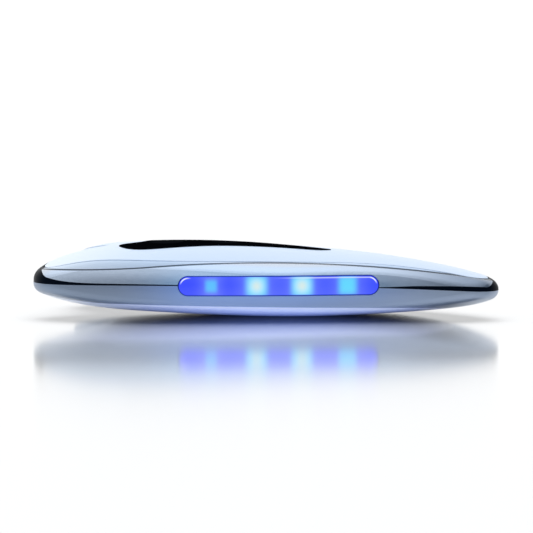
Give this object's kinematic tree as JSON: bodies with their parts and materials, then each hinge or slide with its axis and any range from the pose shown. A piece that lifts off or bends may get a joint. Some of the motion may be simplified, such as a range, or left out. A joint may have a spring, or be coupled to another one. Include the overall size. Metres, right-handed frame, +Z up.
{
  "type": "electric gua sha",
  "caption": "Handheld flat facial massager with a fishtail notch, a lit side window, touchable black keys, a heated underside and a vibration motor.",
  "frame": {"origin": "on the rest face, under the middle of the bounding box", "axes": "+X along the length towards the pointed nose, +Y away from the side with the lit window, +Z up out of the cover"},
  "size_m": [0.116, 0.0587, 0.0186],
  "materials": {
    "pearl_cover": "pearl white moulding",
    "gloss_black": "polished black",
    "silver_trim": "satin silver plating",
    "silver_shell": "satin silver",
    "polished_plate": "polished",
    "blue_window": "clear blue, lit from behind",
    "white_diffuser": "milky",
    "light_chip": "clear resin",
    "flexible_strip": "amber film",
    "dark_epoxy": "matt",
    "gold_contact": "gold plated",
    "dark_plastic": "moulded",
    "board": "solder mask",
    "foil_cell": "foil pouch",
    "foam": "foam",
    "rubber": "moulded silicone",
    "steel": "bright",
    "tungsten": "sintered"
  },
  "bodies": {
    "handpiece": {"top_cover": "pearl_cover", "control_panel": "gloss_black", "front_trim": "silver_trim", "rear_trim": "silver_trim", "mid_frame": "gloss_black", "led_window": "blue_window", "light_guide": "white_diffuser", "led_1": "light_chip", "led_2": "light_chip", "led_3": "light_chip", "led_4": "light_chip", "led_flex": "flexible_strip", "lower_shell": "silver_shell", "treatment_plate": "polished_plate", "heater_film": "flexible_strip", "temperature_sensor": "dark_epoxy", "plate_contacts": "gold_contact", "power_switch": "steel", "mode_switch": "steel", "chassis": "dark_plastic", "main_board": "board", "board_chips": "dark_epoxy", "battery": "foil_cell", "battery_pad": "foam", "charge_port": "steel", "port_tongue": "dark_plastic", "charge_board": "board", "vibration_motor": "steel", "motor_cradle": "rubber", "shell_seal": "rubber", "case_screws": "steel"},
    "power_key": {"power_button": "gloss_black", "power_plunger": "dark_plastic"},
    "mode_key": {"mode_button": "gloss_black", "mode_plunger": "dark_plastic"},
    "motor_rotor": {"motor_shaft": "steel", "eccentric_weight": "tungsten"}
  },
  "joints": [
    {"name": "power_press", "type": "slide", "parent": "handpiece", "child": "power_key", "axis": [0, 0, -1], "range_m": [0, 0.0004], "stiffness_N_per_m": 3000},
    {"name": "mode_press", "type": "slide", "parent": "handpiece", "child": "mode_key", "axis": [0, 0, -1], "range_m": [0, 0.0004], "stiffness_N_per_m": 3000},
    {"name": "motor_spin", "type": "hinge", "parent": "handpiece", "child": "motor_rotor", "pos_m": [0.0227, -0.012, 0.007], "axis": [1, 0, 0], "continuous": true}
  ]
}
